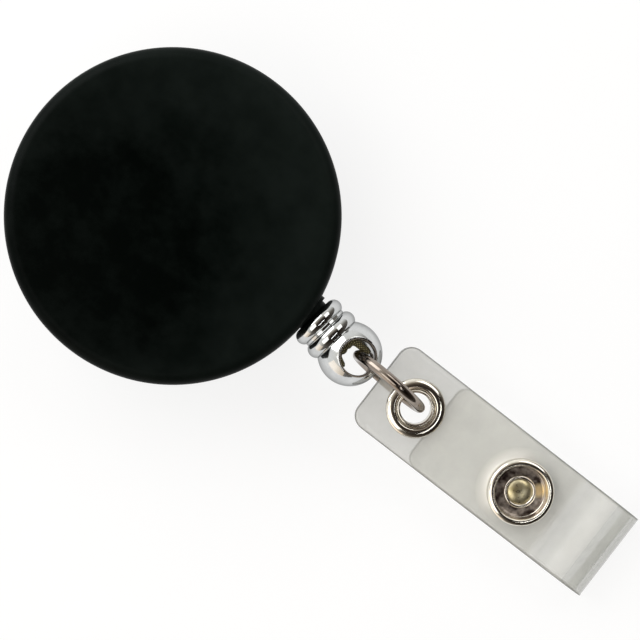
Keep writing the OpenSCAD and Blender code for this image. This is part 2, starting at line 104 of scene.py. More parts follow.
# ---------------------------------------------------------------- places
AT_FERRULE = Matrix.Translation(BALL) @ Matrix.Rotation(-FERRULE_YAW, 4, "Z")
TURNED = AT_FERRULE @ Matrix.Rotation(math.pi / 2, 4, "Y")
AT_HOLE = AT_FERRULE @ Matrix.Rotation(-HOLE_ROLL, 4, "X")
AT_RING = (Matrix.Translation(RING) @ Matrix.Rotation(-RING_YAW, 4, "Z")
           @ Matrix.Rotation(math.pi / 2 - RING_ROLL, 4, "X"))
AT_STRAP = (Matrix.Translation(EYELET) @ Matrix.Rotation(STRAP_YAW, 4, "Z")
            @ Matrix.Rotation(STRAP_SLOPE, 4, "Y"))
AT_SNAP = AT_STRAP @ Matrix.Translation((EYELET_TO_SNAP, SNAP_SIDE, 0))
HERE = Matrix.Identity(4)


# ---------------------------------------------------------------- camera
camera = bpy.data.objects.new("camera", bpy.data.cameras.new("camera"))
bpy.context.scene.collection.objects.link(camera)
camera.location = Vector((20.28, 1.105, 180.0)) * MM
camera.rotation_euler = (0, 0, math.radians(38.35))
camera.data.sensor_width = 36
camera.data.lens = 83.8
camera.data.clip_start = 0.005
camera.data.clip_end = 5
bpy.context.scene.camera = camera


# ---------------------------------------------------------------- mesh helpers
def fillet(points, steps=5, closed=True):
    """Points (x, y, radius) as a smooth outline: each corner becomes an arc of its radius."""
    out = []
    n = len(points)
    for i, (x, y, r) in enumerate(points):
        p = Vector((x, y))
        if r <= 0 or (not closed and i in (0, n - 1)):
            out.append(p)
            continue
        a = (Vector(points[i - 1][:2]) - p)
        b = (Vector(points[(i + 1) % n][:2]) - p)
        da, db = a.normalized(), b.normalized()
        half = math.acos(max(-1, min(1, da.dot(db)))) / 2
        if half > math.pi / 2 - 0.01:
            out.append(p)
            continue
        cut = min(r / math.tan(half), a.length * 0.499, b.length * 0.499)
        r = cut * math.tan(half)
        centre = p + (da + db).normalized() * (r / math.sin(half))
        start, end = p + da * cut - centre, p + db * cut - centre
        turn = start.angle_signed(end)
        for k in range(steps + 1):
            out.append(centre + Matrix.Rotation(-turn * k / steps, 2) @ start)
    return [(p[0], p[1]) for p in out]


def circle(cx, cy, r, a0, a1, steps):
    """Points of an arc in degrees, with no fillet at any of them."""
    return [(cx + r * math.cos(math.radians(a0 + (a1 - a0) * i / steps)),
             cy + r * math.sin(math.radians(a0 + (a1 - a0) * i / steps)), 0) for i in range(steps + 1)]


def finish_mesh(name, bm, material, sharp=35.0):
    """A bmesh in millimetres as a smooth-shaded object in metres, with its sharp edges marked."""
    bmesh.ops.remove_doubles(bm, verts=bm.verts, dist=1e-5)
    bmesh.ops.recalc_face_normals(bm, faces=bm.faces)
    for f in bm.faces:
        f.smooth = True
    for e in bm.edges:
        if len(e.link_faces) == 2 and e.calc_face_angle(0) > math.radians(sharp):
            e.smooth = False
    bmesh.ops.scale(bm, vec=(MM, MM, MM), verts=bm.verts)
    mesh = bpy.data.meshes.new(name)
    bm.to_mesh(mesh)
    bm.free()
    mesh.materials.append(material)
    obj = bpy.data.objects.new(name, mesh)
    bpy.context.scene.collection.objects.link(obj)
    return obj


def grid_faces(bm, rings, uv=None, wrap_ring=True, wrap_rows=False):
    """Quads between rings of vertices, with UVs along and around."""
    layer = bm.loops.layers.uv.verify()
    rows = len(rings)
    n = len(rings[0])
    for i in range(rows if wrap_rows else rows - 1):
        a, b = rings[i], rings[(i + 1) % rows]
        for j in range(n if wrap_ring else n - 1):
            k = (j + 1) % n
            corners = [a[j], a[k], b[k], b[j]]
            if len(set(corners)) < 3:
                continue
            unique = list(dict.fromkeys(corners))
            try:
                face = bm.faces.new(unique)
            except ValueError:
                continue
            left, right = j / n, (j + 1) / n
            places = {a[j]: (left, i), a[k]: (right, i), b[k]: (right, i + 1), b[j]: (left, i + 1)}
            for loop in face.loops:
                u, v = places[loop.vert]
                loop[layer].uv = (u, v if uv is None else uv[min(int(v), len(uv) - 1)])


def lathe(name, profile, place, material, segments=96, closed=True, sharp=35.0):
    """Turns a profile of (radius, height) about the local Z of place."""
    bm = bmesh.new()
    rings, along, length = [], [], 0.0
    for i, (r, h) in enumerate(profile):
        if i:
            length += math.dist(profile[i - 1], profile[i])
        along.append(length)
        if r < 1e-4:
            v = bm.verts.new(place @ Vector((0, 0, h)))
            rings.append([v] * segments)
        else:
            rings.append([bm.verts.new(place @ Vector((r * math.cos(t), r * math.sin(t), h)))
                          for t in (2 * math.pi * j / segments for j in range(segments))])
    grid_faces(bm, rings, along, wrap_rows=closed)
    return finish_mesh(name, bm, material, sharp)


def tube(name, points, radius, material, sides=10, squeeze=None):
    """A round tube along points, closed at both ends; squeeze gives each point's own radius."""
    bm = bmesh.new()
    points = [Vector(p) for p in points]
    rings, along, length = [], [], 0.0
    tangent = (points[1] - points[0]).normalized()
    side = tangent.orthogonal().normalized()
    for i, p in enumerate(points):
        ahead = points[min(i + 1, len(points) - 1)] - points[max(i - 1, 0)]
        turned = ahead.normalized()
        side = (tangent.rotation_difference(turned) @ side).normalized()
        tangent = turned
        up = tangent.cross(side)
        r = radius if squeeze is None else squeeze[i]
        if i:
            length += (p - points[i - 1]).length
        along.append(length)
        rings.append([bm.verts.new(p + r * (side * math.cos(t) + up * math.sin(t)))
                      for t in (2 * math.pi * j / sides for j in range(sides))])
    grid_faces(bm, rings, along)
    bm.faces.new(rings[0])
    bm.faces.new(list(reversed(rings[-1])))
    return finish_mesh(name, bm, material, 60)


def strip(name, path, width, thick, edge, material, place=HERE, caps=(True, True)):
    """A bent strip along (x, z, heading) in the XZ plane, of rectangular section with rounded edges."""
    section = fillet([(-width / 2, -thick / 2, edge), (width / 2, -thick / 2, edge),
                      (width / 2, thick / 2, edge), (-width / 2, thick / 2, edge)], 3)
    bm = bmesh.new()
    rings = []
    for x, z, h in path:
        rings.append([bm.verts.new(place @ Vector((x - n * math.sin(h), w, z + n * math.cos(h))))
                      for w, n in section])
    grid_faces(bm, rings)
    if caps[0]:
        bm.faces.new(rings[0])
    if caps[1]:
        bm.faces.new(list(reversed(rings[-1])))
    return finish_mesh(name, bm, material)


def turn_path(cx, cz, r, h0, h1, steps):
    """Points of a bend in a strip whose heading goes from h0 to h1 degrees; a left turn raises it."""
    side = 1 if h1 > h0 else -1
    out = []
    for i in range(steps + 1):
        h = math.radians(h0 + (h1 - h0) * i / steps)
        out.append((cx + side * r * math.sin(h), cz - side * r * math.cos(h), h))
    return out


def straight(a, b, h, steps):
    """Points of a straight stretch of a strip, both ends left out."""
    return [(a[0] + (b[0] - a[0]) * i / steps, a[1] + (b[1] - a[1]) * i / steps, h)
            for i in range(1, steps)]


# ---------------------------------------------------------------- materials
class Paint:
    """A Principled material whose colour, roughness and bump come from noise in object space."""

    def __init__(self, name, colour, rough, metal=0.0, alpha=1.0):
        self.mat = bpy.data.materials.new(name)
        self.mat.use_nodes = True
        self.tree = self.mat.node_tree
        self.bsdf = self.tree.nodes["Principled BSDF"]
        self.colour = (*colour, 1)
        self.bsdf.inputs["Base Color"].default_value = self.colour
        self.bsdf.inputs["Roughness"].default_value = rough
        self.bsdf.inputs["Metallic"].default_value = metal
        self.bsdf.inputs["Alpha"].default_value = alpha
        self.coords = self.tree.nodes.new("ShaderNodeTexCoord").outputs["Object"]
        self.height = None

    def node(self, kind, **sockets):
        made = self.tree.nodes.new(kind)
        for key, value in sockets.items():
            made.inputs[key.replace("_", " ")].default_value = value
        return made

    def link(self, a, b):
        self.tree.links.new(a, b)

    def noise(self, scale, detail=4.0, rough=0.6, stretch=(1, 1, 1)):
        mapping = self.node("ShaderNodeMapping", Scale=stretch)
        self.link(self.coords, mapping.inputs["Vector"])
        noise = self.node("ShaderNodeTexNoise", Scale=scale, Detail=detail, Roughness=rough)
        self.link(mapping.outputs["Vector"], noise.inputs["Vector"])
        return noise.outputs["Fac"]

    def span(self, value, low, high, to_low, to_high):
        made = self.node("ShaderNodeMapRange")
        for key, x in (("From Min", low), ("From Max", high), ("To Min", to_low), ("To Max", to_high)):
            made.inputs[key].default_value = x
        self.link(value, made.inputs["Value"])
        return made.outputs["Result"]

    def fill(self, socket, value):
        """Feeds a socket with another node's output, a colour or a number."""
        if isinstance(value, bpy.types.NodeSocket):
            self.link(value, socket)
        elif isinstance(value, tuple):
            socket.default_value = (*value, 1)
        else:
            socket.default_value = value

    def mix(self, share, low, high, kind="MIX"):
        """Mixes two colours by a share and makes the result the base colour."""
        made = self.node("ShaderNodeMix")
        made.data_type = "RGBA"
        made.blend_type = kind
        for socket, value in ((0, share), (6, low), (7, high)):
            self.fill(made.inputs[socket], value)
        self.link(made.outputs[2], self.bsdf.inputs["Base Color"])
        return made.outputs[2]

    def sum(self, kind, *values):
        """A math node of the given kind over outputs and numbers."""
        made = self.node("ShaderNodeMath")
        made.operation = kind
        for socket, value in zip(made.inputs, values):
            self.fill(socket, value)
        return made.outputs[0]

    def offset(self, place):
        """The vector from a place in metres to the shaded point."""
        made = self.node("ShaderNodeVectorMath")
        made.operation = "SUBTRACT"
        made.inputs[1].default_value = place
        self.link(self.coords, made.inputs[0])
        return made.outputs[0]

    def flat(self, vector):
        """A vector without its Z."""
        made = self.node("ShaderNodeVectorMath")
        made.operation = "MULTIPLY"
        made.inputs[1].default_value = (1, 1, 0)
        self.link(vector, made.inputs[0])
        return made.outputs[0]

    def length(self, vector):
        made = self.node("ShaderNodeVectorMath")
        made.operation = "LENGTH"
        self.link(vector, made.inputs[0])
        return made.outputs["Value"]

    def part_x(self, vector):
        made = self.node("ShaderNodeSeparateXYZ")
        self.link(vector, made.inputs[0])
        return made.outputs["X"]

    def roughness(self, value, low, high, from_low=0.3, from_high=0.7):
        self.link(self.span(value, from_low, from_high, low, high), self.bsdf.inputs["Roughness"])

    def bump(self, value, strength, distance):
        made = self.node("ShaderNodeBump", Strength=strength, Distance=distance)
        self.link(value, made.inputs["Height"])
        if self.height is not None:
            self.link(self.height, made.inputs["Normal"])
        self.height = made.outputs["Normal"]
        self.link(self.height, self.bsdf.inputs["Normal"])


def black_plastic():
    """Satin black with a painted sheen: its colour grows lighter from a point off the middle of the face out
    to the rim.
    """
    m = Paint("satin_black_plastic", (0.003, 0.0045, 0.004), 0.36)
    grain = m.noise(9000, 3)
    broad = m.noise(260, 4)
    least_sheen_at = Vector((-4.0, -7.0, CASE_Z1)) * MM
    # painted sheen: lighter away from one point, standing in for the soft reflection across the face and rim
    painted_rim_sheen = m.span(m.length(m.offset(least_sheen_at)), 8.5 * MM, 27.0 * MM, 0.0, 0.9)
    share = m.sum("MULTIPLY_ADD", m.span(broad, 0.35, 0.65, -0.12, 0.15), 1.0, painted_rim_sheen)
    m.mix(share, (0.0001, 0.0009, 0.0005), (0.0085, 0.0118, 0.0104))
    m.roughness(broad, 0.33, 0.42)
    m.bump(grain, 0.12, 0.00001)
    m.bsdf.inputs["Specular IOR Level"].default_value = 0.03
    return m.mat


def plain_plastic(name, dark, light, rough):
    m = Paint(name, light, rough)
    flow = m.noise(420, 5, 0.6, (1, 1, 2.5))
    m.mix(m.span(flow, 0.35, 0.65, 0, 1), dark, light)
    m.roughness(flow, rough - 0.06, rough + 0.08)
    m.bump(m.noise(7000, 2), 0.15, 0.00001)
    return m.mat


def plated(name, dark, light, rough_low, rough_high, grazing=0.8):
    m = Paint(name, light, rough_low, 1.0)
    m.bsdf.inputs["Specular Tint"].default_value = (grazing, grazing, grazing, 1)
    smear = m.noise(700, 5, 0.65)
    m.mix(m.span(smear, 0.35, 0.7, 0, 1), dark, light)
    m.roughness(m.noise(1500, 6, 0.7), rough_low, rough_high)
    m.bump(m.noise(500, 2), 0.03, 0.00003)
    return m.mat


def dark_dish_plating():
    """Dull plating in the bottom of the snap, a darker copy of the nickel: its dark brown is a painted dark
    reflection, mottled at random, with one gold patch near one side.
    """
    m = Paint("dull_nickel_painted_dark", (0.3, 0.25, 0.2), 0.3, 1.0)
    blots = m.noise(560, 3, 0.6)
    # painted dark reflection: dark brown, mottled at random by noise
    painted_dark_brown = m.mix(m.span(blots, 0.42, 0.6, 0, 1), (0.07, 0.05, 0.042), (0.50, 0.43, 0.37))
    patch = (AT_SNAP @ Vector((1.75, 1.45, HALF_T + 0.25))) * MM
    gold_patch_share = m.span(m.length(m.offset(patch)), 0.4 * MM, 1.0 * MM, 0.85, 0.0)
    m.mix(gold_patch_share, painted_dark_brown, (0.95, 0.70, 0.36))
    m.roughness(blots, 0.24, 0.42)
    m.bump(m.noise(900, 3), 0.25, 0.00004)
    return m.mat


def brushed(name, dark, light, rough, stretch):
    m = Paint(name, light, rough, 1.0)
    lines = m.noise(1400, 5, 0.7, stretch)
    m.mix(m.span(lines, 0.3, 0.7, 0, 1), dark, light)
    m.roughness(lines, rough - 0.07, rough + 0.1)
    m.bump(lines, 0.2, 0.00002)
    return m.mat


def braid():
    """Cord of two crossed sets of strands, along and round its tube; the light strand tone paints highlights
    on the dark olive cord.
    """
    m = Paint("braided_cord", (0.02, 0.02, 0.02), 0.75)
    uv = m.tree.nodes.new("ShaderNodeTexCoord").outputs["UV"]
    waves = []
    for lean in (1, -1):
        mapping = m.node("ShaderNodeMapping", Scale=(4.0, 2.2, 1.0))
        m.link(uv, mapping.inputs["Vector"])
        mapping.inputs["Rotation"].default_value = (0, 0, lean * math.radians(38))
        wave = m.node("ShaderNodeTexWave", Scale=0.7, Distortion=0.4)
        m.link(mapping.outputs["Vector"], wave.inputs["Vector"])
        waves.append(wave.outputs["Fac"])
    weave_and_glint = m.sum("MULTIPLY", *waves)
    # dark olive cord with painted highlights: the light tone sits on the weave's crests
    m.mix(weave_and_glint, (0.07, 0.058, 0.022), (0.80, 0.70, 0.36))
    m.bump(weave_and_glint, 0.5, 0.00006)
    m.bsdf.inputs["Sheen Weight"].default_value = 0.3
    return m.mat


def clear_vinyl(name, dark, light, opaque):
    """Clear flexible vinyl whose haze hides a share of what lies behind each of its faces."""
    m = Paint(name, light, 0.16, 0.0, opaque)
    haze = m.noise(300, 4)
    m.mix(m.span(haze, 0.3, 0.7, 0, 1), dark, light)
    m.roughness(haze, 0.12, 0.24)
    m.link(m.span(haze, 0.3, 0.7, opaque - 0.04, opaque + 0.04), m.bsdf.inputs["Alpha"])
    m.bump(m.noise(240, 3), 0.10, 0.0002)
    m.bsdf.inputs["IOR"].default_value = 1.53
    return m


def strap_vinyl(name, dark, light, opaque, painted_bands):
    """Clear vinyl with soft painted light and shade bands across the strap, (x in mm, tone), and a painted
    highlight crescent on one side of the snap.
    """
    m = clear_vinyl(name, dark, light, opaque)
    plain = m.bsdf.inputs["Base Color"].links[0].from_socket
    first, last = painted_bands[0][0], painted_bands[-1][0]
    ramp = m.node("ShaderNodeValToRGB")
    m.link(m.span(m.part_x(m.coords), first * MM, last * MM, 0, 1), ramp.inputs["Fac"])
    stops = ramp.color_ramp.elements
    for i, (at, tone) in enumerate((painted_bands[0], painted_bands[-1]) + painted_bands[1:-1]):
        stop = stops[i] if i < 2 else stops.new((at - first) / (last - first))
        stop.color = (tone, tone, tone, 1)
    # painted light and shade: tone factors along the strap that paint highlight bands and lighter and darker
    # stretches
    painted_banding = m.mix(1.0, plain, ramp.outputs["Color"], "MULTIPLY")
    # painted highlight: a whiter, more opaque crescent on the near side of the snap
    from_snap = m.flat(m.offset(AT_SNAP.translation * MM))
    close = m.span(m.length(from_snap), 3.8 * MM, 5.2 * MM, 1.0, 0.0)
    leftward = m.span(m.part_x(from_snap), 0.5 * MM, -2.2 * MM, 0.0, 1.0)
    painted_crescent_highlight = m.sum("MULTIPLY", close, leftward)
    m.mix(painted_crescent_highlight, painted_banding, (1.0, 0.99, 0.96))
    m.link(m.sum("MULTIPLY_ADD", painted_crescent_highlight, 0.45, opaque), m.bsdf.inputs["Alpha"])
    return m


BLACK = black_plastic()
POST = plain_plastic("dark_moulding", (0.03, 0.03, 0.03), (0.07, 0.07, 0.07), 0.45)
WHITE = plain_plastic("natural_moulding", (0.62, 0.62, 0.58), (0.78, 0.78, 0.75), 0.42)
CHROME = plated("chrome_plate", (0.57, 0.58, 0.58), (0.67, 0.68, 0.68), 0.05, 0.13, 0.48)
# a lighter copy of the nickel plating: painted light on the eyelet and snap rims
NICKEL_PAINTED_LIGHT = plated("nickel_painted_lighter", (0.76, 0.72, 0.64), (0.90, 0.86, 0.78), 0.11, 0.16)
NICKEL = plated("nickel_plate", (0.60, 0.55, 0.48), (0.74, 0.69, 0.61), 0.07, 0.18)
# a darker copy of the nickel plating: painted shade on the ring's wire
RING_NICKEL_SHADED = plated("ring_nickel_painted_dark", (0.25, 0.21, 0.18), (0.36, 0.315, 0.275), 0.08, 0.2)
DISH = dark_dish_plating()
BRASS = plated("dull_brass", (0.46, 0.39, 0.21), (0.66, 0.60, 0.42), 0.22, 0.4)
STEEL = brushed("clip_steel", (0.46, 0.46, 0.47), (0.66, 0.66, 0.67), 0.26, (1.0, 12.0, 12.0))
BLUED = brushed("tempered_steel", (0.10, 0.13, 0.20), (0.30, 0.33, 0.40), 0.3, (1.0, 1.0, 14.0))
CORD = braid()
# painted light and shade along the strap, (x in mm, tone factor), with highlight bands near the fold
PAINTED_LIGHT_BANDS = ((38.0, 0.93), (40.0, 1.10), (53.4, 1.04), (56.2, 1.06), (57.2, 0.93), (58.4, 1.04),
         (59.5, 1.24), (61.0, 1.18))
VINYL = strap_vinyl("clear_vinyl", (0.66, 0.665, 0.63), (0.76, 0.76, 0.72), 0.42, PAINTED_LIGHT_BANDS).mat
VINYL_UNDER = clear_vinyl("clear_vinyl_under", (0.84, 0.85, 0.81), (0.92, 0.92, 0.89), 0.10).mat
# a dark vinyl for tubes along the cut edges: painted shade for the dark outline of the clear sheet's edges
VINYL_EDGE_SHADE = clear_vinyl("vinyl_cut_edge_painted_shade", (0.24, 0.245, 0.23), (0.34, 0.345, 0.325), 0.42).mat
# darker copies of the clear vinyl that paint shade on the fold and its outer turn
fold_shade_paints = (clear_vinyl("clear_vinyl_fold_shaded", (0.56, 0.57, 0.535), (0.66, 0.67, 0.635), 0.40),
               clear_vinyl("clear_vinyl_turn_shaded", (0.60, 0.61, 0.575), (0.70, 0.71, 0.675), 0.50))
for paint in fold_shade_paints:
    paint.bsdf.inputs["Specular IOR Level"].default_value = 0.15
VINYL_FOLD_SHADED, VINYL_TURN_SHADED = (paint.mat for paint in fold_shade_paints)

for node, material in (("outlet_bush", BLACK), ("arbor_post", POST), ("spool_keeper", STEEL),
                       ("rivet_washer", STEEL), ("spool", WHITE), ("spool_lid", WHITE),
                       ("power_spring", BLUED), ("snap_spring", BLUED)):
    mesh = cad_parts[node].data
    mesh.materials.clear()
    mesh.materials.append(material)


def place_piece(obj, body, slot, *nodes):
    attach(obj, body)
    if nodes:
        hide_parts(*nodes)
    return obj


# ---------------------------------------------------------------- case
DOME = 0.16
RIM_FILLET = 1.55
FLAT_R = CASE_R - 1.9
SEAM, SEAM_R = 0.14, CASE_R - 0.12
LIP_H = 1.4
GROOVE_R0, GROOVE_R1, GROOVE = 9.6, 10.8, 0.15

crown = [(FLAT_R * (1 - i / 14), CASE_Z1 - DOME * (1 - i / 14) ** 2, 0) for i in range(1, 15)]
cover = fillet(
    [(SEAM_R, PART_Z + 0.04, 0.08), (CASE_R, PART_Z + 0.18, 0.1), (CASE_R, CASE_Z1 - DOME, RIM_FILLET)]
    + crown + [(0, ROOF_Z, 0), (COVER_IN_R, ROOF_Z, 0.4), (COVER_IN_R, PART_Z + 0.04, 0)], 14, closed=False)
place_piece(lathe("case_front", cover, HERE, BLACK, 192), "case", "case_black", "front_cover")

back = fillet(
    [(0, CASE_Z0, 0), (GROOVE_R0, CASE_Z0, 0.1), (GROOVE_R0 + 0.2, CASE_Z0 + GROOVE, 0.1),
     (GROOVE_R1 - 0.2, CASE_Z0 + GROOVE, 0.1), (GROOVE_R1, CASE_Z0, 0.1), (CASE_R, CASE_Z0, 0.9),
     (CASE_R, PART_Z - SEAM, 0.1), (SEAM_R, PART_Z, 0.08), (LIP_R, PART_Z, 0), (LIP_R, PART_Z + LIP_H, 0.15),
     (LIP_IN_R, PART_Z + LIP_H, 0.15), (LIP_IN_R, FLOOR_Z, 0.2), (0, FLOOR_Z, 0)], 8, closed=False)
place_piece(lathe("case_back", back, HERE, BLACK, 192), "case", "case_black", "rear_case")

MOUTH_R, MOUTH_IN_R, MOUTH_X0, MOUTH_X1 = 2.0, 0.95, -7.6, -6.0
mouth_lip = fillet([(MOUTH_IN_R, MOUTH_X0, 0), (MOUTH_R, MOUTH_X0, 0), (MOUTH_R, MOUTH_X1, 0.12),
                    (MOUTH_IN_R, MOUTH_X1, 0.12)], 5)
place_piece(lathe("case_mouth", mouth_lip, TURNED, BLACK, 64), "case", "case_black")

# ---------------------------------------------------------------- belt clip
CLIP_EDGE = 0.18
plate_z = CLIP_H - CLIP_T / 2
bend_z = CLIP_H / 2
bend_r = (CLIP_H - CLIP_T) / 2
plate_end = CLIP_LIP_X - 5
plate = [(plate_end - 0.01, plate_z, math.pi)]
plate += straight((plate_end, plate_z), (-CLIP_BEND_X, plate_z), math.pi, 24)
plate += [(-CLIP_BEND_X, plate_z, math.pi)]
clip_plate = strip("clip_plate", plate, CLIP_W, CLIP_T, CLIP_EDGE, STEEL, caps=(True, False))
place_piece(clip_plate, "case", "steel", "clip_base")

flat_z = CLIP_T / 2
arm_start = 0.5 - CLIP_BEND_X
bend = turn_path(-CLIP_BEND_X, bend_z, bend_r, 180, 360, 28)
bend += [(-CLIP_BEND_X + 0.25, flat_z, 0.0), (arm_start, flat_z, 0.0)]
clip_bend = strip("clip_bend", bend, CLIP_W, CLIP_T, CLIP_EDGE, STEEL, caps=(False, False))
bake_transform(clip_bend)

RISE, ARM_R, GRIP = 30.0, 1.6, 0.35
crest_z = CLIP_H - CLIP_T - GRIP - CLIP_T / 2
crest_x = plate_end
half_rise = math.radians(RISE / 2)
arm_run = (crest_z - flat_z) / math.tan(2 * half_rise) + 2 * ARM_R * math.tan(half_rise)
arm = ([(arm_start, flat_z, 0.0)] + straight((arm_start, flat_z), (crest_x - arm_run, flat_z), 0.0, 24)
       + turn_path(crest_x - arm_run, flat_z + ARM_R, ARM_R, 0, RISE, 6)
       + turn_path(crest_x, crest_z - ARM_R, ARM_R, RISE, -RISE, 10)
       + turn_path(crest_x + arm_run, flat_z + ARM_R, ARM_R, -RISE, 0, 6) + [(CLIP_LIP_X, flat_z, 0.0)])
tongue = strip("clip_tongue", arm, CLIP_W, CLIP_T, CLIP_EDGE, STEEL, caps=(False, True))
place_piece(tongue, "clip_arm", "steel", "clip_arm")

HEAD_R, HEAD_H, SHANK_R = 2.6, 0.55, 1.5
head_z = CLIP_H - CLIP_T - 0.3
shank_top = FLOOR_Z + 2.2
rivet = fillet([(0, head_z - HEAD_H, 0), (1.2, head_z - HEAD_H, 0.5), (HEAD_R, head_z - 0.12, 0.1),
                (HEAD_R, head_z, 0.05), (SHANK_R, head_z, 0), (SHANK_R, shank_top, 0.2),
                (0, shank_top, 0)], 6, closed=False)
place_piece(lathe("clip_rivet_head", rivet, HERE, STEEL, 64), "case", "steel", "clip_rivet")

# ---------------------------------------------------------------- cord
cord_r = CORD_D / 2
LANES, LAYERS, PER_TURN, LAYER_STEP = 4, 2, 40, 0.76
winding = []
for layer in range(LAYERS):
    r = DRUM_R + 0.08 + cord_r + layer * LAYER_STEP
    low, high = WIND_Z0 + cord_r, WIND_Z1 - cord_r
    for i in range(LANES * PER_TURN + 1):
        t = i / (LANES * PER_TURN)
        z = low + (high - low) * (t if layer % 2 == 0 else 1 - t)
        a = -2 * math.pi * LANES * (t + layer)
        winding.append((r * math.cos(a), r * math.sin(a), z))
place_piece(tube("cord_turns", winding, cord_r, CORD, 10), "spool", "cord", "cord_winding")

BEND_X, BEND_R = 15.6, 1.2
KNOT_ALONG = -1.25
pull = Vector((math.cos(FERRULE_YAW), -math.sin(FERRULE_YAW), 0))
bend_at = BALL - pull * ((BALL.x - BEND_X) / pull.x)
tangent_r = PACK_R + cord_r + 0.05
start_az = math.atan2(bend_at.y, bend_at.x) + math.acos(tangent_r / math.hypot(bend_at.x, bend_at.y))
start = Vector((math.cos(start_az), math.sin(start_az), 0)) * tangent_r
stop = BALL + pull * (KNOT_ALONG - 0.8)
turns = [(start.x, start.y, 0), (bend_at.x, bend_at.y, BEND_R), (stop.x, stop.y, 0)]
outline = fillet(turns, 10, closed=False)
route = []
for near, far in zip(outline, outline[1:]):
    count = max(1, int(math.dist(near, far) / 0.12))
    route += [(*Vector(near).lerp(Vector(far), i / count), AXIS_Z) for i in range(count)]
route.append(stop)
lead = tube("cord_out", route, cord_r, CORD, 12)
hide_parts("cord_lead")
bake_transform(lead)

KNOT_LONG, KNOT_WIDE, STRAND_R = 0.46, 0.265, 0.40
knot = []
for i in range(97):
    t = 2 * math.pi * i / 96
    knot.append(AT_FERRULE @ Vector((KNOT_ALONG + KNOT_LONG * math.sin(3 * t),
                                     KNOT_WIDE * (math.sin(t) + 2 * math.sin(2 * t)),
                                     KNOT_WIDE * (math.cos(t) - 2 * math.cos(2 * t)))))
place_piece(tube("cord_stop_knot", knot, STRAND_R, CORD, 12), "cord_end", "cord", "cord_knot")


def loose_end(name, corners):
    """A frayed end of the cord inside the ball, through corners given from the ball's centre."""
    path = []
    for near, far in zip(corners, corners[1:]):
        path += [Vector(near).lerp(Vector(far), i / 10) for i in range(10)]
    path.append(Vector(corners[-1]))
    for _ in range(12):
        inner = [(path[i - 1] + path[i] * 2 + path[i + 1]) / 4 for i in range(1, len(path) - 1)]
        path = [path[0]] + inner + [path[-1]]
    frayed = [cord_r * (1.0 if i < 18 else 1.0 - 0.16 * (i - 18)) for i in range(len(path))]
    piece = tube(name, [AT_FERRULE @ q for q in path], cord_r, CORD, 12, squeeze=frayed)
    place_piece(piece, "cord_end", "cord")


loose_end("cord_stop_tail", [(KNOT_ALONG, 0.1, 0.05), (KNOT_ALONG + 0.55, 1.45, 0.35), (1.55, 1.62, 0.5)])
loose_end("cord_stop_stub", [(KNOT_ALONG, -0.1, 0.0), (KNOT_ALONG + 0.45, -1.25, -0.3),
                             (0.55, -1.7, -0.4)])

# ---------------------------------------------------------------- ferrule
BEAD1, BEAD2 = (-5.08, 0.95), (-3.05, 1.05)
ROOT_R, CORE_R, BORE_R = 2.35, 2.8, 0.75


def bead(at, r, steps=22):
    """Outer half of a bead, from where it leaves the core on one side to the other."""
    reach = math.degrees(math.acos((CORE_R - ROOT_R) / r))
    return [(ROOT_R + r * math.cos(math.radians(a)), at + r * math.sin(math.radians(a)))
            for a in (-reach + 2 * reach * i / steps for i in range(steps + 1))]


neck_end = BEAD1[0] - 0.85
KNOT_BORE_R, KNOT_BORE_X, NECK_X1 = 1.3, -2.95, -1.76
neck = [(BORE_R, neck_end), (ROOT_R, neck_end)]
neck += [(ROOT_R + BEAD1[1] * math.cos(math.radians(a)), BEAD1[0] + BEAD1[1] * math.sin(math.radians(a)))
         for a in range(-84, 63, 6)]
neck += bead(*BEAD2)
neck += [(CORE_R, NECK_X1), (KNOT_BORE_R, NECK_X1), (KNOT_BORE_R, KNOT_BORE_X), (BORE_R, KNOT_BORE_X)]
beads = lathe("ferrule_beads", neck, TURNED, CHROME, 128, sharp=25)
place_piece(beads, "ferrule", "chrome", "ferrule_neck")

COLLAR_X0, COLLAR_X1, COLLAR_R = -2.05, -1.83, 3.05
collar = fillet([(2.7, COLLAR_X0, 0.05), (COLLAR_R, COLLAR_X0, 0.09), (COLLAR_R, COLLAR_X1, 0.09),
                 (2.7, COLLAR_X1, 0.05)], 5)
place_piece(lathe("ferrule_ring", collar, TURNED, CHROME, 128), "ferrule", "chrome", "ferrule_collar")


def hollow_ball(name, material, around=160, up=72):
    """A hollow ball with a hole through it beside its centre: one loop of points at each azimuth."""
    inner = BALL_R - BALL_WALL
    lip = 0.28
    bm = bmesh.new()
    rings = []
    for j in range(around):
        az = 2 * math.pi * j / around

        def reach(r):
            return HOLE_SHIFT * math.cos(az) + math.sqrt(r * r - (HOLE_SHIFT * math.sin(az)) ** 2)
        rim, wall = reach(HOLE_R + lip), reach(HOLE_R)
        top = math.asin(min(0.999, rim / BALL_R))
        bottom = math.pi - math.asin(min(0.999, wall / inner))
        z_out = BALL_R * math.cos(top)
        z_in = math.sqrt(max(0.01, inner ** 2 - wall ** 2))
        outside = [top + (math.pi - 2 * top) * i / up for i in range(up + 1)]
        inside = [bottom - (2 * bottom - math.pi) * i / 36 for i in range(1, 36)]
        side = [(rim - lip * math.sin(t), lip * 0.75 * (1 - math.cos(t)) - z_out)
                for t in (math.pi / 2 * i / 6 for i in range(1, 7))]
        side.append((wall, -z_in - 0.04))
        loop = [(BALL_R * math.sin(t), BALL_R * math.cos(t)) for t in outside]
        loop += side + [(inner * math.sin(t), inner * math.cos(t)) for t in inside]
        loop += [(r, -z) for r, z in reversed(side)]
        rings.append([bm.verts.new(AT_HOLE @ Vector((r * math.cos(az), r * math.sin(az), z)))
                      for r, z in loop])
    grid_faces(bm, rings, wrap_rows=True)
    return finish_mesh(name, bm, material, 50)


place_piece(hollow_ball("ferrule_bell", CHROME), "ferrule", "chrome", "ferrule_ball")

